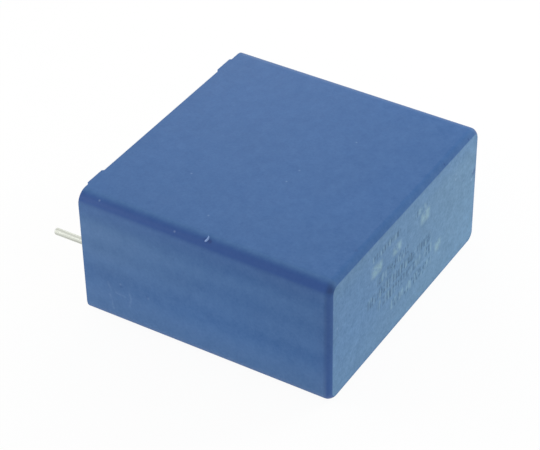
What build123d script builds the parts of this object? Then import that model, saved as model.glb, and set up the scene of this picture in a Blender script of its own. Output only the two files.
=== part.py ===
from build123d import *

import os
from math import radians, tan

# A potted box film capacitor, lying on one broad side.
# X runs along the lead pitch, Y from the closed face to the leads, Z up from the lower broad wall.
# The origin is on that wall, half way between the closed face and the rim.

# Driving dimensions of the case, in millimetres and degrees
body_height = 38.8
body_thickness = 20.25
wall = 0.8
closed_wall = 1.2
broad_wall_draft = 0.27
end_wall_draft = 0.08
long_edge_radius = 1.85
face_edge_radius = 1.2
face_flat_depth = 0.12
inner_edge_radius = 1.0
inner_floor_radius = 0.5
foot_height = 0.28
foot_length = 3.7
foot_inset = 3.0
foot_offset = -0.5
foot_end_slope = 50.0

# Driving dimensions of the leads and of the capacitor element
lead_pitch = 37.5
lead_diameter = 1.0
lead_length = 5.87
lead_weld_length = 14.0
lead_flat_thickness = 0.65
lead_flat_width = 1.25
lead_weld_depth = 0.15
lead_tip_chamfer = 0.12
spray_thickness = 0.5

# Driving dimensions of the potting: what it leaves round the element and how it stands at the rim
side_cover = 0.7
lead_cover = 0.95
closed_cover = 0.7
fill_cover = 2.2
fill_recess = 0.9
meniscus_radius = 0.3
meniscus_height = 0.25
meniscus_lip = 0.06
lead_collar_radius = 0.25

# Length that cutting tools run past what they cut
overrun = 1.0

# Places that follow from the driving dimensions
body_length = lead_pitch + lead_diameter + 2 * (lead_cover + wall)
face_y = -body_height / 2
rim_y = body_height / 2
feet_y = rim_y + foot_height
floor_y = face_y + closed_wall
fill_y = rim_y - fill_recess
lead_x = lead_pitch / 2
lead_radius = lead_diameter / 2
lead_z = body_thickness / 2
spray_face_x = lead_x - lead_flat_thickness / 2 + lead_weld_depth
film_end_x = spray_face_x - spray_thickness
winding_start_y = floor_y + closed_cover
winding_end_y = fill_y - fill_cover


def outer_half_length(y):
    """Half the length over the end walls at a level of Y: the walls lean in towards the closed face."""
    return body_length / 2 - (rim_y - y) * tan(radians(end_wall_draft))


def outer_top(y):
    """Height of the upper broad wall at a level of Y: it takes the draft of both, as the lower one lies level."""
    return body_thickness - 2 * (rim_y - y) * tan(radians(broad_wall_draft))


def drafted_block(inset, start_y, end_y, edge_radius):
    """A block between two levels of Y, inset from the outer walls, with its four long edges rounded."""
    start_half = outer_half_length(start_y) - inset
    end_half = outer_half_length(end_y) - inset
    start_top = outer_top(start_y) - inset
    end_top = outer_top(end_y) - inset
    plan_outline = Polyline(
        (-start_half, start_y),
        (start_half, start_y),
        (end_half, end_y),
        (-end_half, end_y),
        close=True,
    )
    side_outline = Plane.YZ * Polyline(
        (start_y, inset),
        (end_y, inset),
        (end_y, end_top),
        (start_y, start_top),
        close=True,
    )
    plan_prism = extrude(Pos(Z=inset) * make_face(plan_outline), end_top - inset)
    side_prism = extrude(make_face(side_outline), end_half, both=True)
    block = plan_prism & side_prism
    long_edges = block.edges().sort_by(Axis.Y)[4:8]
    return fillet(long_edges, edge_radius)


def round_closed_end(block, radius):
    """The block with the edges round its closed end rounded."""
    return fillet(block.faces().sort_by(Axis.Y)[0].edges(), radius)


def cavity_block(end_y):
    """The room inside the case, from its floor up to a level of Y: the case is cut and the resin cast by it."""
    return round_closed_end(drafted_block(wall, floor_y, end_y, inner_edge_radius), inner_floor_radius)


def foot_pads():
    """Two prisms that run through both broad walls and leave a foot standing on the rim at each."""
    foot_x = body_length / 2 - foot_inset - foot_length / 2
    profile = Trapezoid(foot_length, foot_height, foot_end_slope, align=(Align.CENTER, Align.MIN))
    pad = extrude(Pos(foot_offset, rim_y, -overrun) * profile, body_thickness + 2 * overrun)
    return Pos(X=-foot_x) * pad + Pos(X=foot_x) * pad


def make_case():
    """The moulded box: drafted walls, a crisp flat closed face cut into its rounded edge, and four feet."""
    blank = drafted_block(0, face_y - face_flat_depth, feet_y, long_edge_radius)
    blank = round_closed_end(blank, face_edge_radius)
    face_plane = Plane(origin=(0, face_y, 0), z_dir=(0, 1, 0))
    blank = split(blank, bisect_by=face_plane, keep=Keep.TOP)
    rim_size = (body_length + 2 * overrun, foot_height + overrun, body_thickness + 2 * overrun)
    rim_waste = Pos(0, rim_y, -overrun) * Box(*rim_size, align=(Align.CENTER, Align.MIN, Align.MIN))
    return blank - cavity_block(feet_y + overrun) - (rim_waste - foot_pads())


def winding_outline():
    """The flattened roll's section, a slot with round ends, drawn in the plane of Y and Z."""
    half_thickness = outer_top(floor_y) - wall - side_cover - lead_z
    roll_height = winding_end_y - winding_start_y
    roll_middle = (winding_start_y + winding_end_y) / 2
    return Plane.YZ * (Pos(roll_middle, lead_z) * SlotOverall(roll_height, 2 * half_thickness))


def make_winding():
    """The roll of metallised film, pressed flat."""
    return extrude(winding_outline(), film_end_x, both=True)


def make_lead(side):
    """A tinned wire on one side of the part: pressed flat for its weld, and round where it leaves the resin."""

    def level(y):
        return Plane(origin=(side * lead_x, y, lead_z), x_dir=(0, 0, 1), z_dir=(0, 1, 0))

    flat_start_y = winding_end_y - lead_weld_length
    flat_section = SlotOverall(lead_flat_width, lead_flat_thickness)
    round_section = Circle(lead_radius)
    flat_end = extrude(level(flat_start_y) * flat_section, lead_weld_length)
    neck = loft([level(winding_end_y) * flat_section, level(fill_y) * round_section])
    wire = extrude(level(fill_y) * round_section, feet_y + lead_length - fill_y)
    wire = chamfer(wire.edges().sort_by(Axis.Y)[-1], lead_tip_chamfer)
    return flat_end + neck + wire


def make_end_contact(side, lead):
    """The layer of metal sprayed on one end of the roll, with the groove that the welded wire leaves in it."""
    layer = extrude(Pos(X=side * film_end_x) * winding_outline(), side * spray_thickness)
    return layer - lead


def lead_collar(side):
    """The resin drawn up one lead: a quarter circle swung round the wire, with its foot sunk in the fill."""
    top_radius = lead_radius + meniscus_lip
    foot_radius = top_radius + lead_collar_radius
    hollow = JernArc((foot_radius, 0), (-1, 0), lead_collar_radius, -90)
    sides = Polyline(
        hollow @ 1,
        (0, lead_collar_radius),
        (0, -lead_collar_radius),
        (foot_radius, -lead_collar_radius),
        hollow @ 0,
    )
    section_plane = Plane(origin=(side * lead_x, fill_y, lead_z), x_dir=(1, 0, 0), z_dir=(0, 0, 1))
    section = section_plane * make_face(hollow + sides)
    return revolve(section, Axis((side * lead_x, fill_y, lead_z), (0, 1, 0)))


def make_potting(inner_pieces):
    """The resin cast into the case round the element, dished at the walls and drawn up the leads."""
    resin = cavity_block(fill_y + meniscus_height)
    dish = drafted_block(wall + meniscus_lip, fill_y, rim_y + overrun, inner_edge_radius - meniscus_lip)
    resin = resin - round_closed_end(dish, meniscus_radius)
    for side in (-1, 1):
        resin = resin + lead_collar(side)
    for piece in inner_pieces:
        resin = resin - piece
    return resin


def make_part():
    """Every piece of the capacitor under its node name."""
    left_lead = make_lead(-1)
    right_lead = make_lead(1)
    element = {
        "film_winding": make_winding(),
        "left_end_contact": make_end_contact(-1, left_lead),
        "right_end_contact": make_end_contact(1, right_lead),
        "left_lead": left_lead,
        "right_lead": right_lead,
    }
    potting = make_potting(element.values())
    return {"case": make_case(), "potting_resin": potting, **element}


os.makedirs("parts", exist_ok=True)
for name, shape in make_part().items():
    export_step(shape, f"parts/{name}.step")
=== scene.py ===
"""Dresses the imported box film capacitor: a finish for each piece, the marking on the closed face, and a white studio.

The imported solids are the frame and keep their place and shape. Lengths are metres, in the frame of the solids:
X along the lead pitch, Y from the closed face to the leads, Z up from the broad wall that the box lies on.
"""

import math
from typing import NamedTuple

import bpy
import numpy as np
from bpy.props import FloatProperty, FloatVectorProperty, PointerProperty
from bpy.types import NodeSocket, Operator, Panel, PropertyGroup
from mathutils import Euler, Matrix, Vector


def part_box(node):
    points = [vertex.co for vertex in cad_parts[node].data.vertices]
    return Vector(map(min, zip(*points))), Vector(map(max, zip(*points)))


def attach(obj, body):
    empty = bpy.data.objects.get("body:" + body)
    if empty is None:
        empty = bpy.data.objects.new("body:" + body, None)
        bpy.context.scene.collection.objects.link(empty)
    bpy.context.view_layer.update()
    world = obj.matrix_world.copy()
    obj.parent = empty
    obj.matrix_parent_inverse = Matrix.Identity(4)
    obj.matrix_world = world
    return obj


bl_info = {
    "name": "Box Film Capacitor Dressing",
    "version": (1, 0, 0),
    "blender": (4, 5, 0),
    "location": "View3D > Sidebar > Capacitor",
    "description": "Finishes, marking and studio for a potted box film capacitor",
    "category": "Object",
}

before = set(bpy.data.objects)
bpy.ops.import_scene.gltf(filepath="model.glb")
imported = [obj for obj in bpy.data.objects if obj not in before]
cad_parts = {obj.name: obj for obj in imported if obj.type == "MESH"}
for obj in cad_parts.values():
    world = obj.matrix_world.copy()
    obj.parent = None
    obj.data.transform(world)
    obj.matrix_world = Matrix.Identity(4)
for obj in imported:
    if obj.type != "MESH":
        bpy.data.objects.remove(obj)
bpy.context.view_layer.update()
case_low, case_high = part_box("case")
resin_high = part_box("potting_resin")[1]
lead_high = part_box("left_lead")[1]

MM = 0.001
WHITE = (1.0, 1.0, 1.0, 1.0)

# Marking on the closed face, whose pale fields are painted glints on its glossy letters: middle X and Z, half length
# and half height of each oblong, in millimetres
PALE_GLINT_FIELDS = ((-8.7, 14.5, 1.4, 0.9), (-3.1, 14.3, 1.1, 0.7), (4.9, 14.5, 1.2, 0.9), (9.1, 6.7, 0.8, 0.8))
STROKE_ROWS = (
    (-6.2, 16.6, 3.8, 0.5), (3.6, 16.3, 1.8, 0.5), (-4.1, 12.1, 4.5, 0.7),
    (-2.0, 9.9, 9.1, 0.8), (-0.5, 7.8, 7.7, 0.8), (1.3, 5.4, 5.8, 0.8),
)
# Single pale specks on the box: place and radius in millimetres, and how strong each is
PALE_SPOTS = (
    ((-1.34, -3.29, 20.04), 0.22, 0.25), ((-16.11, 1.81, 20.08), 0.22, 0.25), ((-20.55, 4.23, 19.44), 0.22, 0.25),
    ((8.35, -6.68, 20.00), 0.22, 0.25), ((-4.39, -3.08, 20.04), 0.22, 0.25), ((-9.41, 8.84, 20.15), 0.22, 0.25),
    ((-20.32, 16.31, 19.80), 0.22, 0.25), ((-20.99, 13.39, 7.16), 0.24, 0.15), ((-20.99, 8.85, 6.52), 0.26, 0.13),
    ((19.08, -19.40, 11.66), 0.36, 0.42), ((19.25, -19.40, 12.95), 0.30, 0.28), ((13.79, -19.40, 14.97), 0.32, 0.26),
    ((14.02, -19.40, 15.68), 0.28, 0.20), ((-19.07, -19.40, 11.99), 0.28, 0.20),
)
# Faint scuffs on the left end wall: Y and Z of both ends of each line, in millimetres
SCUFF_LINES = (
    ((15.30, 4.75), (14.85, 2.30)), ((15.50, 6.70), (15.10, 5.50)), ((14.25, 5.37), (12.77, 5.19)),
    ((12.04, 6.20), (11.75, 5.20)), ((11.75, 5.20), (12.10, 3.80)),
)
# Small dark spots on the box, the first two a painted shadow beside the nick: place and radius in millimetres, and how
# strong each is
DARK_SPOTS_AND_NICK_SHADOW = (
    ((-20.25, -1.08, 19.67), 0.40, 0.80), ((-20.19, -0.24, 19.72), 0.34, 0.35), ((19.68, -19.40, 12.62), 0.80, 0.45),
    ((17.53, -19.27, 19.43), 0.25, 0.50), ((10.43, -19.20, 19.51), 0.25, 0.50), ((-12.59, -18.42, 19.89), 0.40, 0.25),
    ((-20.99, 13.32, 6.79), 0.30, 0.24), ((-20.99, 9.03, 6.74), 0.32, 0.20), ((16.43, -19.40, 13.15), 0.32, 0.22),
    ((12.97, -19.40, 13.94), 0.32, 0.20), ((19.02, -19.40, 12.22), 0.30, 0.18), ((18.48, -19.40, 8.53), 0.30, 0.18),
)
# Name, place in metres and share of the power of each soft box, and whether gloss shows it
SOFT_BOXES = (
    ("left_soft_box", (-0.080, 0.135, 0.046), 0.80, True),
    ("back_soft_box", (0.084, 0.060, 0.062), 0.12, True),
    ("right_soft_box", (0.125, -0.090, 0.070), 1.00, False),
)

# Soft steps across a rounding, from and to, in its radii: 0 is where the rounding begins and 1 is the wall's plane
LONG_EDGE_UP = (0.03, 0.50)
LONG_EDGE_OUT = (0.17, 0.72)
BELOW_LONG_EDGE = (-1.6, 0.1)
SHOULDER_RISE = (0.0, 0.14)
SHOULDER_FALL = (0.62, 0.22)
END_SIDE = (0.20, 0.60)
END_WALL = (0.90, 0.99)
FACE_TURN = (0.0, 0.62)
BROAD_SHADE = (0.15, 0.90)
UPRIGHT_EDGE = (-0.15, 0.58)
BESIDE_UPRIGHT_EDGE = (-1.6, 0.0)
UPRIGHT_EDGE_END = (0.62, 0.90)

# Soft steps along X, Y or Z of the box, from and to, in millimetres
SHEEN_RIM_Y = (-8.0, 21.0)
SHEEN_UPPER_Z = (8.0, 12.0)
SHEEN_UPPER_END_Z = (18.4, 15.4)
LOW_FLOOR_LIGHT_Z = (7.0, 2.0)
SHEEN_RIGHT_X = (12.0, 19.0)
FLOOR_LIGHT_WALL_Z = (16.0, 1.5)
FLOOR_LIGHT_EDGE_Z = (13.0, 2.0)
SHADED_RIM_Y = (-2.0, 17.0)
SHADED_RIM_Z = (10.5, 8.5)
SHADED_FRONT_Y = (-4.0, -17.0)
FACE_EDGE_SHADE_X = (-2.0, 8.0)
FACE_LIGHT_X = (-19.0, 19.0)
FACE_LIGHT_TOP_Z = (15.5, 18.8)
FACE_LIGHT_LOW_Z = (9.0, 2.0)

# How much of the painted edge shade each place takes, and how much of the grain the smooth edges lose
BELOW_EDGE_SHADE = 0.30
BESIDE_EDGE_SHADE = 0.12
UPRIGHT_EDGE_SHADE = 0.74
UPRIGHT_EDGE_END_SHADE = -0.22
EDGE_SMOOTHNESS = 0.7

# How much painted sheen each place takes, low on the end walls as painted light from the floor
WALL_SHEEN = 0.014
RIM_SHEEN = 0.018
UPPER_RIM_SHEEN = 0.048
LOW_FLOOR_LIGHT = 0.062
FACE_EDGE_SHEEN = 0.016
RIGHT_FACE_EDGE_SHEEN = 0.020
SHOULDER_SHEEN = 0.027

# How much bloom the grain and the small clouds carry on the walls and on the closed face, and the flow on the end walls
GRAIN_BLOOM = (0.20, 0.58)
CLOUD_BLOOM = (0.062, 0.11)
BAND_BLOOM = 0.030
STREAK_BLOOM = 0.042

# What each place adds to the tone of the plastic, which is 1 elsewhere: the patches vary at random, the floor light is
# painted light from the floor, and the rest are painted shade
PATCH_TONE = 0.05
SHADED_RIM_TONE = -0.075
SHADED_FRONT_TONE = -0.035
FACE_EDGE_SHADE = -0.115
RIGHT_FACE_EDGE_SHADE = -0.045
UPRIGHT_WALL_SHADE = -0.055
FLOOR_LIGHT_TONE = 0.10
CORNER_SHADE = -0.25

# How strong the painted floor light on the upright edges, the painted light on the closed face, the marking with its
# painted glints, the scuffs and the strays are
FLOOR_LIGHT_EDGE_SHARE = 1.3
FACE_LIGHT_TOP_SHARE = 0.40
FACE_LIGHT_LOW_SHARE = 0.35
PALE_PRINT_AND_GLINT_SHARE = 0.85
MARKED_DARK_SHARE = 0.95
SCUFF_SHARE = 0.12
STRAY_SHARE = 0.18

# How far the flow bands wander in pitches, and how far outside its outline the closed face fades in, in fades
BAND_WANDER = 0.20
FADE_OUTSIDE = 0.9
# How far behind its plane a place still counts as on the closed face, in millimetres
FACE_MARGIN = 0.003

# Soft steps in the noise that breaks up the pale fields, the strokes, their gaps and the scuffs
FIELD_CLOUD = (0.25, 0.55)
STROKE_NOISE = (0.47, 0.55)
GAP_NOISE = (0.46, 0.39)
GAP_SHARE = 0.55
WEAR_NOISE = (0.34, 0.50)
SCUFF_NOISE = (0.30, 0.62)

# Full middle of a placed spot and of a stray speck, and the range of the strays, in shares of their size
SPOT_CORE = 0.3
SPECK_CORE = 0.5
SPECK_SMALLEST = 0.4
SPECK_SPREAD = 0.8
# Scale and share of the patches in the surface grain
GRAIN_PATCH_SCALE = 0.37
GRAIN_PATCH_SHARE = 0.35

# The nick's path: start, drift and drift back in Y in millimetres, start and turn round the edge in degrees
NICK_START_Y = -0.40
NICK_DRIFT = -0.83
NICK_DRIFT_BACK = 0.73
NICK_START_ANGLE = 43.6
NICK_TURN = 31.0
# The nick's lens: skew of its swell, loss of width to the top, unevenness of its crest, share sunk in the plastic
NICK_SKEW = 0.7
NICK_TAPER = 0.42
NICK_WAVER = 0.25
NICK_WAVER_RATE = 9.0
NICK_SUNK = 0.3
NICK_RINGS = 20
NICK_STEPS = 16
# The table: rings, steps round it, and the gap to the box in millimetres
TABLE_RINGS = 8
TABLE_STEPS = 64
TABLE_GAP = 0.01


def colour_value(name, description, default):
    """A colour that a user can change."""
    return FloatVectorProperty(
        name=name, description=description, subtype="COLOR", size=3, min=0.0, max=1.0, default=default
    )


def number_value(name, description, default, **kind):
    """A number that a user can change, with a unit or a subtype where one fits."""
    return FloatProperty(name=name, description=description, default=default, **kind)


def length_value(name, description, default):
    """A length in metres that a user can change."""
    return number_value(name, description, default, unit="LENGTH", precision=6)


def share_value(name, description, default):
    """A share from nothing to all that a user can change."""
    return number_value(name, description, default, subtype="FACTOR", min=0.0, max=1.0)


class CaseFinish(PropertyGroup):
    """The moulded box: its plastic, and the sizes that its finish follows."""

    wall_colour: colour_value("Wall Colour", "Blue of the matt flat walls", (0.030, 0.117, 0.319))
    # Painted shade: the deeper blue of the rounded edges stands in for their darker reflection
    edge_shade_colour: colour_value("Edge Colour", "Deeper blue of the smooth rounded edges", (0.0085, 0.0605, 0.240))
    face_colour: colour_value("Closed Face Colour", "Greyer blue of the closed face", (0.087, 0.206, 0.391))
    # Painted light: the lighter blue that the closed face takes to the right and low down
    face_painted_light_colour: colour_value("Far Face Colour", "Dustier blue at the face's right", (0.107, 0.228, 0.376))
    # Painted sheen on the end walls and edges, and painted light from the floor low on the end walls
    painted_sheen_colour: colour_value("Haze Colour", "Dusty haze on the end walls", (0.420, 0.550, 0.500))
    bloom_colour: colour_value("Bloom Colour", "Pale bloom that the matt grain carries unevenly", (0.148, 0.217, 0.312))
    speck_colour: colour_value("Speck Colour", "Stray pale specks on the plastic", (0.300, 0.420, 0.620))
    # Also the colour of the painted shadow beside the nick
    spot_and_shadow_colour: colour_value("Pit Colour", "Small dark pits and spots on the plastic", (0.004, 0.034, 0.170))
    gloss_index: number_value("Gloss Index", "Refractive index of the plastic", 1.45)
    wall_roughness: share_value("Wall Roughness", "Of the matt flat walls", 0.54)
    edge_roughness: share_value("Edge Roughness", "Of the smooth rounded edges", 0.42)
    face_roughness: share_value("Closed Face Roughness", "Of the closed face", 0.60)
    edge_radius: length_value("Long Edge Radius", "Rounding of the four long edges", 1.85 * MM)
    face_radius: length_value("Face Edge Radius", "Rounding round the closed face", 1.2 * MM)
    face_fade: length_value("Face Fade", "How far in from its outline the closed face has its full colour", 0.35 * MM)
    face_cut: length_value("Face Cut", "How far the flat closed face cuts into its rounding", 0.12 * MM)
    broad_lean: number_value("Broad Wall Lean", "How far the upper wall drops per length", 0.009425)
    end_lean: number_value("End Wall Lean", "How far an end wall leans in per length", 0.001396)
    grain_size: length_value("Grain Size", "Size of the mould grain on the walls", 0.38 * MM)
    grain_depth: length_value("Grain Depth", "Depth of the mould grain on the walls", 0.012 * MM)
    face_grain_size: length_value("Face Grain Size", "Size of the coarser grain on the closed face", 0.46 * MM)
    band_pitch: length_value("Flow Band Pitch", "Distance between the soft bands along the end walls", 4.7 * MM)
    band_start: number_value("Flow Band Start", "Where the bands begin", 1.069, subtype="ANGLE")
    scuff_width: length_value("Scuff Width", "Width of a faint scuff on the end wall", 0.60 * MM)


class MarkingFinish(PropertyGroup):
    """The faint marking on the closed face: plain pale fields that are painted glints on its glossy letters, and rows
    of short dark strokes.
    """

    # Also the colour of the painted glints in the pale fields, beside the paler printed gaps
    pale_colour: colour_value("Pale Colour", "Pale marked fields", (0.212, 0.360, 0.450))
    dark_colour: colour_value("Dark Colour", "Short dark strokes", (0.050, 0.140, 0.260))
    stroke_width: length_value("Stroke Width", "Width of a stroke", 0.45 * MM)
    stroke_height: length_value("Stroke Height", "Height of a stroke", 3.5 * MM)


class NickFinish(PropertyGroup):
    """The small whitened nick on the long edge."""

    colour: colour_value("Nick Colour", "Whitened plastic", (0.220, 0.345, 0.640))
    height: length_value("Height", "How far the nick stands on the edge", 0.09 * MM)
    width: length_value("Width", "Width of the nick at its lower end", 0.40 * MM)
    roughness: share_value("Nick Roughness", "Of the whitened plastic", 0.55)


class ResinFinish(PropertyGroup):
    """The resin that closes the box."""

    colour: colour_value("Resin Colour", "Cast resin", (0.520, 0.430, 0.270))
    filler_colour: colour_value("Filler Colour", "Grains of filler in the resin", (0.700, 0.640, 0.480))
    bubble_spacing: length_value("Bubble Spacing", "Distance between the small bubbles", 1.6 * MM)
    roughness: share_value("Resin Roughness", "Of the cast resin", 0.42)


class LeadFinish(PropertyGroup):
    """The two tinned wires."""

    bright_colour: colour_value("Bright Tin", "Tin between the drawn lines", (0.578, 0.596, 0.540))
    # The darker lines are painted reflections of darker surroundings
    reflection_line_colour: colour_value("Drawn Lines", "Duller lengthwise lines", (0.402, 0.414, 0.374))
    line_width: length_value("Line Width", "Width of a drawn line", 0.16 * MM)
    roughness: share_value("Tin Roughness", "Of the bright tin", 0.42)


class ElementFinish(PropertyGroup):
    """The wound element inside the resin."""

    film_colour: colour_value("Film Colour", "Metallised film", (0.450, 0.450, 0.460))
    spray_colour: colour_value("Sprayed Metal Colour", "Sprayed end contacts", (0.420, 0.420, 0.430))
    film_roughness: share_value("Film Roughness", "Of the metallised film", 0.30)
    spray_roughness: share_value("Sprayed Metal Roughness", "Of the sprayed end contacts", 0.58)


class StageSettings(PropertyGroup):
    """Floor, light and camera."""

    floor_colour: colour_value("Floor Colour", "White table", (0.900, 0.905, 0.900))
    floor_radius: length_value("Floor Radius", "Radius of the table", 2.0)
    shadow_share: share_value("Shadow Share", "How much of the soft shadow the picture shows on the floor", 0.06)
    tent_strength: number_value("Tent Strength", "Light from all round", 0.74)
    box_power: number_value("Soft Box Power", "Light of the strongest soft box", 0.12, unit="POWER")
    box_size: length_value("Soft Box Size", "Width of each soft box", 0.08)
    focal_length: number_value("Focal Length", "Camera lens", 128.4631, unit="CAMERA")
    camera_place: FloatVectorProperty(
        name="Camera Place", description="Where the camera stands", subtype="XYZ", unit="LENGTH", precision=5,
        default=(-0.183123, -0.111615, 0.171576),
    )
    camera_turn: FloatVectorProperty(
        name="Camera Turn", description="How the camera is turned", subtype="EULER", unit="ROTATION",
        default=(0.921154, 0.013051, -1.023933),
    )


class CapacitorSettings(PropertyGroup):
    """Everything that a user would change on this capacitor."""

    case: PointerProperty(type=CaseFinish)
    marking: PointerProperty(type=MarkingFinish)
    nick: PointerProperty(type=NickFinish)
    resin: PointerProperty(type=ResinFinish)
    lead: PointerProperty(type=LeadFinish)
    element: PointerProperty(type=ElementFinish)
    stage: PointerProperty(type=StageSettings)


class NodeSheet:
    """A node tree being drawn: each call adds a node, joins or sets its inputs, and hands back an output."""

    def __init__(self, tree):
        self.tree = tree

    def node(self, kind, inputs=None, **settings):
        """A node with its settings; an input given as a socket is joined, and anything else is set."""
        node = self.tree.nodes.new(kind)
        for name, value in settings.items():
            setattr(node, name, value)
        for key, value in (inputs or {}).items():
            if isinstance(value, NodeSocket):
                self.tree.links.new(value, node.inputs[key])
            else:
                node.inputs[key].default_value = value
        return node

    def math(self, operation, *values, clamp=False):
        """One step of arithmetic."""
        return self.node("ShaderNodeMath", dict(enumerate(values)), operation=operation, use_clamp=clamp).outputs[0]

    def smooth(self, value, low, high):
        """A soft step from 0 at low to 1 at high."""
        inputs = {"Value": value, "From Min": low, "From Max": high}
        return self.node("ShaderNodeMapRange", inputs, interpolation_type="SMOOTHSTEP").outputs[0]

    def step(self, value, span):
        """A soft step over a span in millimetres."""
        return self.smooth(value, span[0] * MM, span[1] * MM)

    def product(self, first, *others):
        """Several masks or numbers multiplied."""
        for other in others:
            first = self.math("MULTIPLY", first, other)
        return first

    def total(self, start, *terms):
        """A start to which each term is added, a mask times its share."""
        for mask, share in terms:
            start = self.math("MULTIPLY_ADD", mask, share, start)
        return start

    def between(self, factor, first, second):
        """The number between two others."""
        return self.node("ShaderNodeMix", {0: factor, 2: first, 3: second}, data_type="FLOAT").outputs[0]

    def blend(self, factor, first, second):
        """The colour between two others."""
        first, second = (end if isinstance(end, NodeSocket) else opaque(end) for end in (first, second))
        return self.node("ShaderNodeMix", {0: factor, 6: first, 7: second}, data_type="RGBA").outputs[2]

    def scale(self, colour, factor):
        """A colour made lighter or darker."""
        return self.node("ShaderNodeVectorMath", {0: colour, "Scale": factor}, operation="SCALE").outputs[0]

    def bloomed(self, colour, bloom_colour, share):
        """A colour with a share of a bloom's colour added, or taken away where the share is below nought."""
        inputs = {0: tuple(bloom_colour), 1: share, 2: colour}
        return self.node("ShaderNodeVectorMath", inputs, operation="MULTIPLY_ADD").outputs[0]

    def oblongs(self, across, up, table, soft):
        """1 inside any oblong of a table and 0 outside them, with soft sides, in millimetres."""
        masks = []
        for middle_across, middle_up, half_length, half_height in table:
            sides = []
            for value, middle, half in ((across, middle_across, half_length), (up, middle_up, half_height)):
                away = self.math("ABSOLUTE", self.math("SUBTRACT", value, middle * MM))
                sides.append(self.step(away, (half + soft, half - soft)))
            masks.append(self.product(*sides))
        return self.most(masks)

    def spots(self, place, table):
        """The strongest of the spots of a table: each is full in its middle and gone from its radius on."""
        masks = []
        for point, radius, strength in table:
            inputs = {0: place, 1: [value * MM for value in point]}
            away = self.node("ShaderNodeVectorMath", inputs, operation="DISTANCE").outputs["Value"]
            masks.append(self.product(self.step(away, (radius, SPOT_CORE * radius)), strength))
        return self.most(masks)

    def line(self, across, up, start, end, width):
        """1 on a straight stroke between two points and 0 from half its width on."""
        run, rise = end[0] - start[0], end[1] - start[1]
        from_start = self.math("SUBTRACT", across, start[0])
        over_start = self.math("SUBTRACT", up, start[1])
        square = run * run + rise * rise
        share = self.product(from_start, run / square)
        share = self.math("MULTIPLY_ADD", over_start, rise / square, share, clamp=True)
        aside = self.total(from_start, (share, -run))
        above = self.total(over_start, (share, -rise))
        away = self.math("SQRT", self.total(self.product(above, above), (aside, aside)))
        return self.smooth(away, width / 2, 0.0)

    def most(self, masks):
        """The largest of several masks."""
        largest = masks[0]
        for mask in masks[1:]:
            largest = self.math("MAXIMUM", largest, mask)
        return largest

    def place(self):
        """The place on the piece, in metres."""
        return self.node("ShaderNodeTexCoord").outputs["Object"]

    def along(self, place):
        """The place along X, Y and Z."""
        return self.node("ShaderNodeSeparateXYZ", {0: place}).outputs

    def turned(self, place, **inputs):
        """The place, moved, turned or stretched."""
        return self.node("ShaderNodeMapping", {"Vector": place, **inputs}).outputs[0]

    def noise(self, place, scale, detail=2.0, roughness=0.5):
        """Cloudy noise of a scale."""
        inputs = {"Vector": place, "Scale": scale, "Detail": detail, "Roughness": roughness}
        return self.node("ShaderNodeTexNoise", inputs).outputs[0]

    def about_nought(self, noise):
        """A noise from 0 to 1 as a tone from -1 to 1."""
        return self.total(-1.0, (noise, 2.0))

    def effect(self, name, place, **inputs):
        """A shared effect with this material's own values; it is built the first time that it is asked for."""
        group = bpy.data.node_groups.get(name) or effect_group(name)
        sockets = {"Place": place, **{key.title(): value for key, value in inputs.items()}}
        return self.node("ShaderNodeGroup", sockets, node_tree=group).outputs


def opaque(colour):
    """A colour with its alpha."""
    return (*colour, 1.0)


def draw_grain(sheet, given):
    """Fine surface grain: a height for the bump, and a tone about nought."""
    scale = sheet.math("DIVIDE", 1.0, given["Size"])
    fine = sheet.noise(given["Place"], scale, detail=3.0, roughness=0.62)
    patches = sheet.noise(given["Place"], sheet.product(scale, GRAIN_PATCH_SCALE))
    return fine, sheet.about_nought(sheet.between(GRAIN_PATCH_SHARE, fine, patches))


def draw_mottle(sheet, given):
    """Broad soft patches: a tone about nought."""
    scale = sheet.math("DIVIDE", 1.0, given["Size"])
    return [sheet.about_nought(sheet.noise(given["Place"], scale, roughness=0.45))]


def draw_streaks(sheet, given):
    """Streaks along Y, as wide and as long as asked: a tone about nought."""
    across = sheet.math("DIVIDE", 1.0, given["Width"])
    along = sheet.math("DIVIDE", 1.0, given["Length"])
    stretch = sheet.node("ShaderNodeCombineXYZ", {"X": across, "Y": along, "Z": across}).outputs[0]
    drawn = sheet.node("ShaderNodeVectorMath", {0: given["Place"], 1: stretch}, operation="MULTIPLY").outputs[0]
    return [sheet.about_nought(sheet.noise(drawn, 1.0, roughness=0.55))]


def draw_specks(sheet, given):
    """Small round spots, one in some of the cells of an uneven net: a mask."""
    scale = sheet.math("DIVIDE", 1.0, given["Spacing"])
    cells = sheet.node("ShaderNodeTexVoronoi", {"Vector": given["Place"], "Scale": scale}).outputs
    chance = sheet.node("ShaderNodeSeparateColor", {"Color": cells["Color"]}).outputs
    chosen = sheet.math("LESS_THAN", chance[0], given["Share"])
    distance = sheet.product(cells["Distance"], given["Spacing"])
    spot_size = sheet.product(given["Size"], sheet.total(SPECK_SMALLEST, (chance[1], SPECK_SPREAD)))
    core = sheet.product(spot_size, SPECK_CORE)
    spot = sheet.math("SUBTRACT", 1.0, sheet.smooth(distance, core, spot_size))
    return [sheet.product(spot, chosen)]


# What comes into each shared effect besides the place, what goes out of it, and what draws it
EFFECTS = {
    "surface_grain": (["Size"], ["Height", "Tone"], draw_grain),
    "soft_mottle": (["Size"], ["Tone"], draw_mottle),
    "drawn_streaks": (["Width", "Length"], ["Tone"], draw_streaks),
    "stray_specks": (["Spacing", "Size", "Share"], ["Mask"], draw_specks),
}


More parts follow.
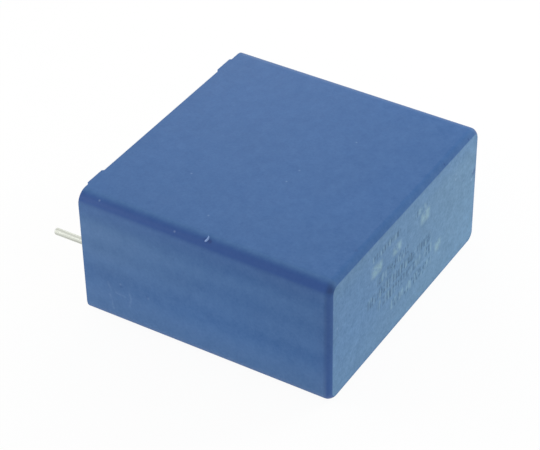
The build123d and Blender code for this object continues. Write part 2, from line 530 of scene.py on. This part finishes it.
def effect_group(name):
    """The node group of a shared effect, with its named sockets."""
    inputs, outputs, draw = EFFECTS[name]
    tree = bpy.data.node_groups.new(name, "ShaderNodeTree")
    tree.interface.new_socket("Place", in_out="INPUT", socket_type="NodeSocketVector")
    for socket_name in inputs:
        tree.interface.new_socket(socket_name, in_out="INPUT", socket_type="NodeSocketFloat")
    for socket_name in outputs:
        tree.interface.new_socket(socket_name, in_out="OUTPUT", socket_type="NodeSocketFloat")
    sheet = NodeSheet(tree)
    drawn = draw(sheet, sheet.node("NodeGroupInput").outputs)
    sheet.node("NodeGroupOutput", dict(zip(outputs, drawn)))
    return tree


def clear_sheet(owner):
    """The empty sheet of a material or a world."""
    owner.use_nodes = True
    owner.node_tree.nodes.clear()
    return NodeSheet(owner.node_tree)


def new_finish(name):
    """An empty material: its sheet and its shader."""
    material = bpy.data.materials.new(name)
    sheet = clear_sheet(material)
    shader = sheet.node("ShaderNodeBsdfPrincipled")
    sheet.node("ShaderNodeOutputMaterial", {"Surface": shader.outputs[0]})
    return material, sheet, shader


def join_finish(sheet, shader, colour, roughness, height, depth):
    """Joins the colour, the roughness and a bump of a depth in metres to the shader."""
    bump = sheet.node("ShaderNodeBump", {"Height": height, "Distance": depth, "Strength": 1.0}).outputs[0]
    for name, socket in (("Base Color", colour), ("Roughness", roughness), ("Normal", bump)):
        sheet.tree.links.new(socket, shader.inputs[name])


def dress_node(name, material):
    """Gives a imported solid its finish."""
    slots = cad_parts[name].material_slots
    if not slots:
        raise RuntimeError(f"the packed solid {name} has no material slot")
    slots[0].material = material


class CaseMasks(NamedTuple):
    """Where on the box each part of its finish goes: each holds 1 there and 0 elsewhere."""

    # edge also carries the painted shade of the rounded edges
    edge: NodeSocket  # the smooth, deeper long edges and upright edges of the closed face
    shoulder: NodeSocket  # the upper side of a long edge
    corner: NodeSocket  # where a long edge meets the rounding of the closed face
    upright_edge: NodeSocket  # the rounding between the closed face and an end wall
    broad_edge: NodeSocket  # the rounding between the closed face and a broad wall
    broad_shade: NodeSocket  # the same, growing towards the face
    face: NodeSocket  # the flat closed face
    face_tone: NodeSocket  # the same, fading in from its outline
    end_wall: NodeSocket  # the flat of an end wall


def case_masks(sheet, along, case):
    """Where the box is rounded and where its closed face and end walls are, worked out from the place.

    The nearness to a wall is 0 where the rounding beside it begins and 1 at the wall's plane. On a long edge the
    nearness to the end wall and to the broad wall are the cosine and the sine of the turn, so a soft step of each,
    multiplied, leaves 1 in the middle of the rounding and 0 where it meets the walls. Round the closed face the
    nearness to its plane does the same work. The walls lean, so their places are sums with Y.
    """
    wall_x = sheet.total(case_high.x - case_high.y * case.end_lean, (along["Y"], case.end_lean))
    top_z = sheet.total(case_high.z - case_high.y * case.broad_lean, (along["Y"], case.broad_lean))
    beyond_end = sheet.math("SUBTRACT", sheet.math("ABSOLUTE", along["X"]), wall_x)
    beyond_top = sheet.math("SUBTRACT", along["Z"], top_z)
    near_end = sheet.math("MULTIPLY_ADD", beyond_end, 1.0 / case.edge_radius, 1.0, clamp=True)
    near_top = sheet.total(1.0, (beyond_top, 1.0 / case.edge_radius))
    turned_up = sheet.smooth(near_top, *LONG_EDGE_UP)
    turned_out = sheet.smooth(near_end, *LONG_EDGE_OUT)
    shoulder = sheet.product(sheet.smooth(near_end, *SHOULDER_RISE), sheet.smooth(near_end, *SHOULDER_FALL), turned_up)
    shade_below = sheet.product(sheet.smooth(near_top, *BELOW_LONG_EDGE), BELOW_EDGE_SHADE)
    long_edge = sheet.product(sheet.between(turned_up, shade_below, 1.0), turned_out)

    face = sheet.math("LESS_THAN", along["Y"], case_low.y + FACE_MARGIN * MM)
    beside_face = sheet.math("SUBTRACT", 1.0, face)
    face_start = case_low.y - case.face_cut + case.face_radius
    near_face = sheet.total(face_start / case.face_radius, (along["Y"], -1.0 / case.face_radius))
    face_turn = sheet.product(sheet.smooth(near_face, *FACE_TURN), beside_face)
    end_side = sheet.smooth(near_end, *END_SIDE)
    upright_edge = sheet.product(face_turn, end_side)
    broad_edge = sheet.math("SUBTRACT", face_turn, upright_edge)
    broad_side = sheet.product(sheet.math("SUBTRACT", 1.0, end_side), beside_face)
    shade_beside = sheet.product(sheet.smooth(near_face, *BESIDE_UPRIGHT_EDGE), BESIDE_EDGE_SHADE)
    edge_end = sheet.smooth(near_face, *UPRIGHT_EDGE_END)
    shade_turned = sheet.total(UPRIGHT_EDGE_SHADE, (edge_end, UPRIGHT_EDGE_END_SHADE))
    face_edge = sheet.between(sheet.smooth(near_face, *UPRIGHT_EDGE), shade_beside, shade_turned)
    face_edge = sheet.product(face_edge, end_side, beside_face)

    from_walls = sheet.product(sheet.math("MAXIMUM", beyond_top, beyond_end), -1.0)
    from_walls = sheet.math("MINIMUM", from_walls, along["Z"])
    outline = case.face_radius - math.sqrt(case.face_radius**2 - (case.face_radius - case.face_cut) ** 2)
    fade = sheet.smooth(from_walls, outline - FADE_OUTSIDE * case.face_fade, outline + case.face_fade)
    return CaseMasks(
        edge=sheet.math("MAXIMUM", long_edge, face_edge),
        shoulder=shoulder,
        corner=sheet.product(turned_up, turned_out, face_turn),
        upright_edge=upright_edge,
        broad_edge=broad_edge,
        broad_shade=sheet.product(sheet.smooth(near_face, *BROAD_SHADE), broad_side),
        face=face,
        face_tone=sheet.product(face, fade),
        end_wall=sheet.smooth(near_end, *END_WALL),
    )


def face_marking(sheet, place, along, marking):
    """The marking as two masks on the closed face: pale fields that are painted glints, and rows of short worn strokes
    with paler gaps.
    """
    cloud = sheet.noise(place, 1.0 / (0.9 * MM), roughness=0.6)
    fields = sheet.oblongs(along["X"], along["Z"], PALE_GLINT_FIELDS, soft=0.5)
    # The pale fields are painted glints
    pale = sheet.product(fields, sheet.smooth(cloud, *FIELD_CLOUD))
    rows = sheet.oblongs(along["X"], along["Z"], STROKE_ROWS, soft=0.25)
    stretch = (1.0 / marking.stroke_width, 1.0, 1.0 / marking.stroke_height)
    strokes = sheet.noise(sheet.turned(place, Scale=stretch), 1.0, detail=1.0)
    worn = sheet.smooth(sheet.noise(place, 1.0 / (0.6 * MM), detail=1.0), *WEAR_NOISE)
    dark = sheet.product(sheet.smooth(strokes, *STROKE_NOISE), worn, rows)
    gaps = sheet.product(sheet.smooth(strokes, *GAP_NOISE), GAP_SHARE, rows)
    return sheet.math("MAXIMUM", pale, gaps), dark


def face_blue(sheet, along, case):
    """The blue of the closed face with painted light: lighter to the right and low down, and even along its top."""
    painted_face_light = sheet.between(sheet.step(along["Z"], FACE_LIGHT_TOP_Z), sheet.step(along["X"], FACE_LIGHT_X), FACE_LIGHT_TOP_SHARE)
    painted_face_light = sheet.total(painted_face_light, (sheet.step(along["Z"], FACE_LIGHT_LOW_Z), FACE_LIGHT_LOW_SHARE))
    return sheet.blend(painted_face_light, case.face_colour, case.face_painted_light_colour)


def case_painted_sheen(sheet, along, masks):
    """How strong the painted sheen is: most near the rim and low on the end walls, the low part painted light from the
    floor, with a trace at the upper edges.
    """
    upper = sheet.product(sheet.step(along["Z"], SHEEN_UPPER_Z), sheet.step(along["Z"], SHEEN_UPPER_END_Z))
    at_rim = sheet.total(RIM_SHEEN, (upper, UPPER_RIM_SHEEN))
    on_wall = sheet.total(WALL_SHEEN, (sheet.step(along["Y"], SHEEN_RIM_Y), at_rim))
    # Painted light from the floor low on the end walls
    on_wall = sheet.between(sheet.step(along["Z"], LOW_FLOOR_LIGHT_Z), on_wall, LOW_FLOOR_LIGHT)
    on_edge = sheet.total(FACE_EDGE_SHEEN, (sheet.step(along["X"], SHEEN_RIGHT_X), RIGHT_FACE_EDGE_SHEEN))
    haze = sheet.product(on_wall, masks.end_wall)
    return sheet.total(haze, (masks.broad_edge, on_edge), (masks.shoulder, SHOULDER_SHEEN))


def case_tone(sheet, along, masks, patches):
    """How light the plastic is, as a factor: softly patchy, lighter low down by painted light from the floor, and
    darker by painted shade on the upright sides, along the lower rim, towards the closed face, on its edges and at the
    corners."""
    upright = sheet.math("MAXIMUM", masks.end_wall, masks.face)
    # Painted light from the floor, low on the walls and upright edges
    painted_floor_light_edge = sheet.product(sheet.step(along["Z"], FLOOR_LIGHT_EDGE_Z), masks.upright_edge)
    painted_floor_light = sheet.product(sheet.step(along["Z"], FLOOR_LIGHT_WALL_Z), upright)
    painted_floor_light = sheet.total(painted_floor_light, (painted_floor_light_edge, FLOOR_LIGHT_EDGE_SHARE))
    low_rim = sheet.product(sheet.step(along["Y"], SHADED_RIM_Y), sheet.step(along["Z"], SHADED_RIM_Z))
    front = sheet.step(along["Y"], SHADED_FRONT_Y)
    shaded = sheet.total(0.0, (front, SHADED_FRONT_TONE), (low_rim, SHADED_RIM_TONE))
    # Painted shade on the closed face's edges, stronger to the right
    face_edge_shade = sheet.total(FACE_EDGE_SHADE, (sheet.step(along["X"], FACE_EDGE_SHADE_X), RIGHT_FACE_EDGE_SHADE))
    return sheet.total(
        1.0,
        (patches, PATCH_TONE),
        (masks.end_wall, shaded),
        (masks.broad_shade, face_edge_shade),
        (upright, UPRIGHT_WALL_SHADE),
        (painted_floor_light, FLOOR_LIGHT_TONE),
        (masks.corner, CORNER_SHADE),
    )


def case_bloom(sheet, place, along, masks, case, patches, grain_tone):
    """How strong the pale bloom is, about nought: it follows the grain and small clouds, and on the end walls the
    streaks and bands in which the plastic flowed. The bands are a sine of Z that wanders with the patches."""
    wander = sheet.total(along["Z"], (patches, case.band_pitch * BAND_WANDER))
    bands = sheet.math("SINE", sheet.total(case.band_start, (wander, math.tau / case.band_pitch)))
    streak = sheet.effect("drawn_streaks", place, width=3.0 * MM, length=30.0 * MM)["Tone"]
    flow = sheet.total(0.0, (streak, STREAK_BLOOM), (bands, BAND_BLOOM))
    clouds = sheet.effect("soft_mottle", place, size=1.6 * MM)["Tone"]
    grain_share = sheet.between(masks.face, *GRAIN_BLOOM)
    cloud_share = sheet.between(masks.face, *CLOUD_BLOOM)
    return sheet.total(sheet.product(flow, masks.end_wall), (grain_tone, grain_share), (clouds, cloud_share))


def pale_marks(sheet, place, along, case):
    """The broken scuffs on the left end wall, the placed pale specks and the stray ones, as one mask."""
    ends = np.array(SCUFF_LINES) * MM
    lines = [sheet.line(along["Y"], along["Z"], start, end, case.scuff_width) for start, end in ends.tolist()]
    on_left = sheet.math("LESS_THAN", along["X"], 0.0)
    broken = sheet.smooth(sheet.noise(place, 1.0 / (0.5 * MM)), *SCUFF_NOISE)
    scuffs = sheet.product(sheet.most(lines), on_left, broken, SCUFF_SHARE)
    strays = sheet.effect("stray_specks", place, spacing=5.2 * MM, size=0.09 * MM, share=0.22)["Mask"]
    return sheet.most([scuffs, sheet.spots(place, PALE_SPOTS), sheet.product(strays, STRAY_SHARE)])


def case_plastic(case, marking):
    """Blue moulded plastic: matt grain with a pale bloom on the walls, smoother on the rounded edges with painted shade
    there, coarser and greyer on the closed face with its marking and painted glints, painted sheen, painted light and
    shade, and flow bands, scuffs, specks, dark spots and the painted shadow beside the nick."""
    material, sheet, shader = new_finish("case_plastic_moulded")
    place = sheet.place()
    along = sheet.along(place)
    masks = case_masks(sheet, along, case)
    wall_grain = sheet.effect("surface_grain", place, size=case.grain_size)
    face_grain = sheet.effect("surface_grain", place, size=case.face_grain_size)
    grain_tone = sheet.between(masks.face, wall_grain["Tone"], face_grain["Tone"])
    patches = sheet.effect("soft_mottle", place, size=11.0 * MM)["Tone"]
    matt = sheet.total(1.0, (masks.edge, -EDGE_SMOOTHNESS))

    # Painted shade on the rounded edges
    colour = sheet.blend(masks.edge, case.wall_colour, case.edge_shade_colour)
    # Painted sheen, and painted light from the floor low on the end walls
    colour = sheet.blend(case_painted_sheen(sheet, along, masks), colour, case.painted_sheen_colour)
    # The closed face's blue, with painted light to the right and low down
    colour = sheet.blend(masks.face_tone, colour, face_blue(sheet, along, case))
    # The marking's pale print with its painted glints, and its dark strokes
    pale_print_and_glints, marked_dark = face_marking(sheet, place, along, marking)
    pale_share = sheet.product(pale_print_and_glints, masks.face, PALE_PRINT_AND_GLINT_SHARE)
    colour = sheet.blend(pale_share, colour, marking.pale_colour)
    dark_share = sheet.product(marked_dark, masks.face, MARKED_DARK_SHARE)
    colour = sheet.blend(dark_share, colour, marking.dark_colour)
    # The tone carries painted light from the floor low down, and painted shade
    colour = sheet.scale(colour, case_tone(sheet, along, masks, patches))
    bloom = case_bloom(sheet, place, along, masks, case, patches, grain_tone)
    colour = sheet.bloomed(colour, case.bloom_colour, sheet.product(bloom, matt))
    # Dark spots, with the painted shadow beside the nick
    colour = sheet.blend(sheet.spots(place, DARK_SPOTS_AND_NICK_SHADOW), colour, case.spot_and_shadow_colour)
    colour = sheet.blend(pale_marks(sheet, place, along, case), colour, case.speck_colour)

    roughness = sheet.between(masks.edge, case.wall_roughness, case.edge_roughness)
    roughness = sheet.between(masks.face, roughness, case.face_roughness)
    roughness = sheet.total(roughness, (grain_tone, 0.10))
    height = sheet.product(sheet.between(masks.face, wall_grain["Height"], face_grain["Height"]), matt)
    shader.inputs["IOR"].default_value = case.gloss_index
    join_finish(sheet, shader, colour, roughness, height, depth=case.grain_depth)
    return material


def whitened_plastic(nick, case):
    """Plastic whitened where it was knocked, with the blue showing through in places."""
    material, sheet, shader = new_finish("case_plastic_whitened")
    place = sheet.place()
    torn = sheet.effect("surface_grain", place, size=0.10 * MM)
    blue = sheet.smooth(torn["Tone"], 0.05, 0.45)
    colour = sheet.blend(blue, nick.colour, case.wall_colour)
    roughness = sheet.total(nick.roughness, (torn["Tone"], 0.15))
    join_finish(sheet, shader, colour, roughness, torn["Height"], depth=0.02 * MM)
    return material


def cast_resin(resin):
    """Filled resin: cloudy, speckled with filler, with small open bubbles, and glossier where it is drawn up."""
    material, sheet, shader = new_finish("resin_cast")
    place = sheet.place()
    along = sheet.along(place)
    filler = sheet.effect("surface_grain", place, size=0.22 * MM)
    clouds = sheet.effect("soft_mottle", place, size=6.0 * MM)["Tone"]
    bubbles = sheet.effect("stray_specks", place, spacing=resin.bubble_spacing, size=0.20 * MM, share=0.25)["Mask"]
    drawn_up = sheet.smooth(along["Y"], resin_high.y - 0.24 * MM, resin_high.y)
    grains = sheet.smooth(filler["Tone"], 0.05, 0.60)
    colour = sheet.blend(grains, resin.colour, resin.filler_colour)
    # The bubbles are darker as painted shade in their hollows
    tone = sheet.total(1.0, (clouds, 0.20), (drawn_up, -0.18), (bubbles, -0.35))
    roughness = sheet.total(resin.roughness, (filler["Tone"], 0.15), (drawn_up, -0.14))
    height = sheet.total(0.0, (clouds, 0.5), (filler["Height"], 0.15), (bubbles, -1.0))
    join_finish(sheet, shader, sheet.scale(colour, tone), roughness, height, depth=0.05 * MM)
    return material


def tinned_wire(lead):
    """Bright tin with darker lines along the wire that are painted reflections of darker surroundings, and a duller cut
    tip.
    """
    material, sheet, shader = new_finish("tinned_wire_drawn")
    place = sheet.place()
    along = sheet.along(place)
    lines = sheet.effect("drawn_streaks", place, width=lead.line_width, length=9.0 * MM)["Tone"]
    tin_grain = sheet.effect("surface_grain", place, size=0.10 * MM)
    # Painted reflections along the wire, and the duller tip
    reflection_lines_and_tip = sheet.smooth(lines, -0.05, 0.40)
    tip = sheet.smooth(along["Y"], lead_high.y - 0.06 * MM, lead_high.y - 0.01 * MM)
    reflection_lines_and_tip = sheet.math("MAXIMUM", reflection_lines_and_tip, sheet.product(tip, 0.7))
    colour = sheet.blend(reflection_lines_and_tip, lead.bright_colour, lead.reflection_line_colour)
    tone = sheet.total(1.0, (tin_grain["Tone"], 0.10))
    roughness = sheet.total(lead.roughness, (reflection_lines_and_tip, 0.08), (tin_grain["Tone"], 0.08))
    shader.inputs["Metallic"].default_value = 1.0
    join_finish(sheet, shader, sheet.scale(colour, tone), roughness, lines, depth=0.006 * MM)
    return material


def wound_film(element):
    """Metallised film: bright turns with fine lines along the roll."""
    material, sheet, shader = new_finish("metallised_film_wound")
    place = sheet.place()
    along_roll = sheet.turned(place, Rotation=(0.0, 0.0, math.radians(90.0)))
    turns = sheet.effect("drawn_streaks", along_roll, width=0.25 * MM, length=20.0 * MM)["Tone"]
    patches = sheet.effect("soft_mottle", place, size=7.0 * MM)["Tone"]
    tone = sheet.total(1.0, (turns, 0.25), (patches, 0.15))
    colour = sheet.scale(tuple(element.film_colour), tone)
    roughness = sheet.total(element.film_roughness, (turns, 0.12))
    shader.inputs["Metallic"].default_value = 0.7
    join_finish(sheet, shader, colour, roughness, turns, depth=0.01 * MM)
    return material


def sprayed_metal(element):
    """Sprayed metal: a rough crust of small frozen drops."""
    material, sheet, shader = new_finish("sprayed_metal_crust")
    place = sheet.place()
    crust = sheet.effect("surface_grain", place, size=0.25 * MM)
    drops = sheet.effect("stray_specks", place, spacing=0.35 * MM, size=0.16 * MM, share=0.7)["Mask"]
    tone = sheet.total(0.95, (crust["Tone"], 0.30), (drops, 0.20))
    colour = sheet.scale(tuple(element.spray_colour), tone)
    roughness = sheet.total(element.spray_roughness, (crust["Tone"], 0.15))
    height = sheet.total(crust["Height"], (drops, 0.6))
    shader.inputs["Metallic"].default_value = 0.9
    join_finish(sheet, shader, colour, roughness, height, depth=0.04 * MM)
    return material


def ring_quads(rings, steps):
    """Quads that join each ring of a surface to the next; the steps of a ring close on themselves."""
    step = np.arange(steps)
    after = (step + 1) % steps
    row = np.arange(rings - 1)[:, None] * steps
    return np.stack([row + step, row + after, row + steps + after, row + steps + step], axis=-1).reshape(-1, 4)


def shell_mesh(name, rings):
    """A closed shell from an array with the axes ring, step and XYZ: quads join each ring to the next, and a fan closes
    the first and the last ring to a pole in its middle."""
    ring_count, steps, _ = rings.shape
    first_pole = ring_count * steps
    points = np.concatenate([rings.reshape(-1, 3), rings[[0, -1]].mean(axis=1)])
    step = np.arange(steps)
    after = (step + 1) % steps
    last_row = first_pole - steps
    first_fan = np.stack([after, step, np.full(steps, first_pole)], axis=-1)
    last_fan = np.stack([last_row + step, last_row + after, np.full(steps, first_pole + 1)], axis=-1)
    mesh = bpy.data.meshes.new(name)
    faces = [*ring_quads(ring_count, steps).tolist(), *first_fan.tolist(), *last_fan.tolist()]
    mesh.from_pydata(points.tolist(), [], faces)
    mesh.shade_smooth()
    return mesh


def add_piece(name, mesh, material):
    """Puts a finished mesh into the scene as a piece that goes with the body."""
    mesh.materials.append(material)
    piece = bpy.data.objects.new(name, mesh)
    bpy.context.scene.collection.objects.link(piece)
    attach(piece, "root")


def nick_shell(name, nick, case):
    """A small ridge on the rounded long edge: a flat lens of a profile carried along an arc of the rounding.

    The arc drifts along the edge by a sum of its run and the square of its run. The profile's width and height follow
    the root of a half sine of the run, skewed by a power of it. The width also tapers to the top, the crest wavers by
    a sine, and the underside lies in the plastic.
    """
    along = np.linspace(0.0, 1.0, NICK_RINGS + 2)[1:-1]
    swell = np.sqrt(np.sin(np.pi * along**NICK_SKEW))
    taper = 1.0 - NICK_TAPER * along
    waver = 1.0 + NICK_WAVER * np.sin(NICK_WAVER_RATE * along)
    turn = np.linspace(0.0, 2.0 * np.pi, NICK_STEPS, endpoint=False)
    across = np.cos(turn)
    lift = np.where(np.sin(turn) > 0, np.sin(turn), NICK_SUNK * np.sin(turn))
    place_y = (NICK_START_Y + NICK_DRIFT * along + NICK_DRIFT_BACK * along**2) * MM
    angle = np.radians(NICK_START_ANGLE + NICK_TURN * along)
    centre_x = -(case_high.x - (case_high.y - place_y) * case.end_lean - case.edge_radius)
    centre_z = case_high.z - (case_high.y - place_y) * case.broad_lean - case.edge_radius
    radius = case.edge_radius + nick.height * (swell * waver)[:, None] * lift
    rings = np.empty((NICK_RINGS, NICK_STEPS, 3))
    rings[..., 0] = centre_x[:, None] - radius * np.cos(angle)[:, None]
    rings[..., 1] = place_y[:, None] + nick.width / 2 * (swell * taper)[:, None] * across
    rings[..., 2] = centre_z[:, None] + radius * np.sin(angle)[:, None]
    return shell_mesh(name, rings)


def floor_sheet(name, radius):
    """A flat round table under the box: the radius times the square of one parameter, turned by the other, with one
    face in its middle."""
    turn = np.linspace(0.0, 2.0 * np.pi, TABLE_STEPS, endpoint=False)
    reach = radius * np.linspace(0.0, 1.0, TABLE_RINGS + 1)[1:] ** 2
    rings = np.empty((TABLE_RINGS, TABLE_STEPS, 3))
    rings[..., 0] = reach[:, None] * np.cos(turn)
    rings[..., 1] = reach[:, None] * np.sin(turn)
    rings[..., 2] = case_low.z - TABLE_GAP * MM
    upward = ring_quads(TABLE_RINGS, TABLE_STEPS)[:, ::-1].tolist()
    middle = list(range(TABLE_STEPS))
    mesh = bpy.data.meshes.new(name)
    mesh.from_pydata(rings.reshape(-1, 3).tolist(), [], [*upward, middle])
    return mesh


def seen_directly(sheet):
    """1 where the picture, a reflection or something clear looks at the surface, and 0 where light gathers from it."""
    path = sheet.node("ShaderNodeLightPath").outputs
    return sheet.most([path["Is Camera Ray"], path["Is Glossy Ray"], path["Is Transmission Ray"]])


class CAPACITOR_OT_finish_case(Operator):
    """Give the moulded box its plastic and the marking on its closed face"""

    bl_idname = "capacitor.finish_case"
    bl_label = "Finish Case"

    def execute(self, context):
        settings = context.scene.capacitor
        dress_node("case", case_plastic(settings.case, settings.marking))
        return {"FINISHED"}


class CAPACITOR_OT_raise_nick(Operator):
    """Raise the small whitened nick on the long edge"""

    bl_idname = "capacitor.raise_nick"
    bl_label = "Raise Nick"

    def execute(self, context):
        settings = context.scene.capacitor
        mesh = nick_shell("edge_nick", settings.nick, settings.case)
        add_piece("edge_nick", mesh, whitened_plastic(settings.nick, settings.case))
        return {"FINISHED"}


class CAPACITOR_OT_finish_resin(Operator):
    """Give the potting its cast resin"""

    bl_idname = "capacitor.finish_resin"
    bl_label = "Finish Resin"

    def execute(self, context):
        dress_node("potting_resin", cast_resin(context.scene.capacitor.resin))
        return {"FINISHED"}


class CAPACITOR_OT_finish_leads(Operator):
    """Give both leads their tin"""

    bl_idname = "capacitor.finish_leads"
    bl_label = "Finish Leads"

    def execute(self, context):
        tin = tinned_wire(context.scene.capacitor.lead)
        dress_node("left_lead", tin)
        dress_node("right_lead", tin)
        return {"FINISHED"}


class CAPACITOR_OT_finish_element(Operator):
    """Give the wound film and its sprayed ends their metals"""

    bl_idname = "capacitor.finish_element"
    bl_label = "Finish Element"

    def execute(self, context):
        element = context.scene.capacitor.element
        dress_node("film_winding", wound_film(element))
        spray = sprayed_metal(element)
        dress_node("left_end_contact", spray)
        dress_node("right_end_contact", spray)
        return {"FINISHED"}


class CAPACITOR_OT_set_stage(Operator):
    """Set up the white table, the soft light and the camera"""

    bl_idname = "capacitor.set_stage"
    bl_label = "Set Stage"

    def execute(self, context):
        stage = context.scene.capacitor.stage
        self.lay_floor(context, stage)
        self.hang_tent(context, stage)
        self.hang_soft_boxes(context, stage)
        self.aim_camera(context, stage)
        context.scene.view_settings.view_transform = "Standard"
        return {"FINISHED"}

    def lay_floor(self, context, stage):
        """The table: light gathers from its white, and the picture shows plain white with a share of the shadow."""
        material = bpy.data.materials.new("white_table")
        sheet = clear_sheet(material)
        table = sheet.node("ShaderNodeBsdfDiffuse", {"Color": opaque(stage.floor_colour)}).outputs[0]
        plain = sheet.node("ShaderNodeEmission", {"Color": WHITE, "Strength": 1.0}).outputs[0]
        factor = sheet.product(seen_directly(sheet), 1.0 - stage.shadow_share)
        shown = sheet.node("ShaderNodeMixShader", {0: factor, 1: table, 2: plain}).outputs[0]
        sheet.node("ShaderNodeOutputMaterial", {"Surface": shown})
        mesh = floor_sheet("table", stage.floor_radius)
        mesh.materials.append(material)
        floor = bpy.data.objects.new("table", mesh)
        context.scene.collection.objects.link(floor)

    def hang_tent(self, context, stage):
        """Even white light from all round, seen as plain white."""
        world = bpy.data.worlds.new("white_tent")
        sheet = clear_sheet(world)
        light = sheet.node("ShaderNodeBackground", {"Color": WHITE, "Strength": stage.tent_strength}).outputs[0]
        plain = sheet.node("ShaderNodeBackground", {"Color": WHITE, "Strength": 1.0}).outputs[0]
        shown = sheet.node("ShaderNodeMixShader", {0: seen_directly(sheet), 1: light, 2: plain}).outputs[0]
        sheet.node("ShaderNodeOutputWorld", {"Surface": shown})
        context.scene.world = world

    def hang_soft_boxes(self, context, stage):
        """A round soft box at each of three sides, turned to the capacitor and left out of the picture."""
        for name, place, share, glossy in SOFT_BOXES:
            light = bpy.data.lights.new(name, "AREA")
            light.shape = "DISK"
            light.size = stage.box_size
            light.energy = stage.box_power * share
            lamp = bpy.data.objects.new(name, light)
            lamp.location = place
            lamp.rotation_euler = (-lamp.location).to_track_quat("-Z", "Y").to_euler()
            lamp.visible_camera = False
            lamp.visible_glossy = glossy
            context.scene.collection.objects.link(lamp)

    def aim_camera(self, context, stage):
        """The camera at the photo's angle."""
        lens = bpy.data.cameras.new("camera")
        lens.sensor_fit = "HORIZONTAL"
        lens.sensor_width = 36.0
        lens.lens = stage.focal_length
        lens.clip_start = 0.005
        camera = bpy.data.objects.new("camera", lens)
        camera.location = stage.camera_place
        camera.rotation_euler = Euler(stage.camera_turn)
        context.scene.collection.objects.link(camera)
        context.scene.camera = camera


class CAPACITOR_PT_dressing(Panel):
    """The steps that dress the capacitor, in order, with their values"""

    bl_label = "Box Film Capacitor"
    bl_idname = "CAPACITOR_PT_dressing"
    bl_space_type = "VIEW_3D"
    bl_region_type = "UI"
    bl_category = "Capacitor"

    def draw(self, context):
        settings = context.scene.capacitor
        for operator, groups in STEPS:
            column = self.layout.box().column()
            column.operator(operator)
            for group in groups:
                values = getattr(settings, group)
                for name in type(values).__annotations__:
                    column.prop(values, name)


STEPS = [
    ("capacitor.finish_case", ("case", "marking")),
    ("capacitor.raise_nick", ("nick",)),
    ("capacitor.finish_resin", ("resin",)),
    ("capacitor.finish_leads", ("lead",)),
    ("capacitor.finish_element", ("element",)),
    ("capacitor.set_stage", ("stage",)),
]

CLASSES = [
    CaseFinish,
    MarkingFinish,
    NickFinish,
    ResinFinish,
    LeadFinish,
    ElementFinish,
    StageSettings,
    CapacitorSettings,
    CAPACITOR_OT_finish_case,
    CAPACITOR_OT_raise_nick,
    CAPACITOR_OT_finish_resin,
    CAPACITOR_OT_finish_leads,
    CAPACITOR_OT_finish_element,
    CAPACITOR_OT_set_stage,
    CAPACITOR_PT_dressing,
]


def register():
    """Makes the steps, their values and the panel known."""
    for cls in CLASSES:
        bpy.utils.register_class(cls)
    bpy.types.Scene.capacitor = PointerProperty(type=CapacitorSettings)


def unregister():
    """Takes them away again."""
    del bpy.types.Scene.capacitor
    for cls in reversed(CLASSES):
        bpy.utils.unregister_class(cls)


def main():
    """Registers the add-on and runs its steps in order."""
    register()
    bpy.ops.capacitor.finish_case()
    bpy.ops.capacitor.raise_nick()
    bpy.ops.capacitor.finish_resin()
    bpy.ops.capacitor.finish_leads()
    bpy.ops.capacitor.finish_element()
    bpy.ops.capacitor.set_stage()


if __name__ == "__main__":
    main()
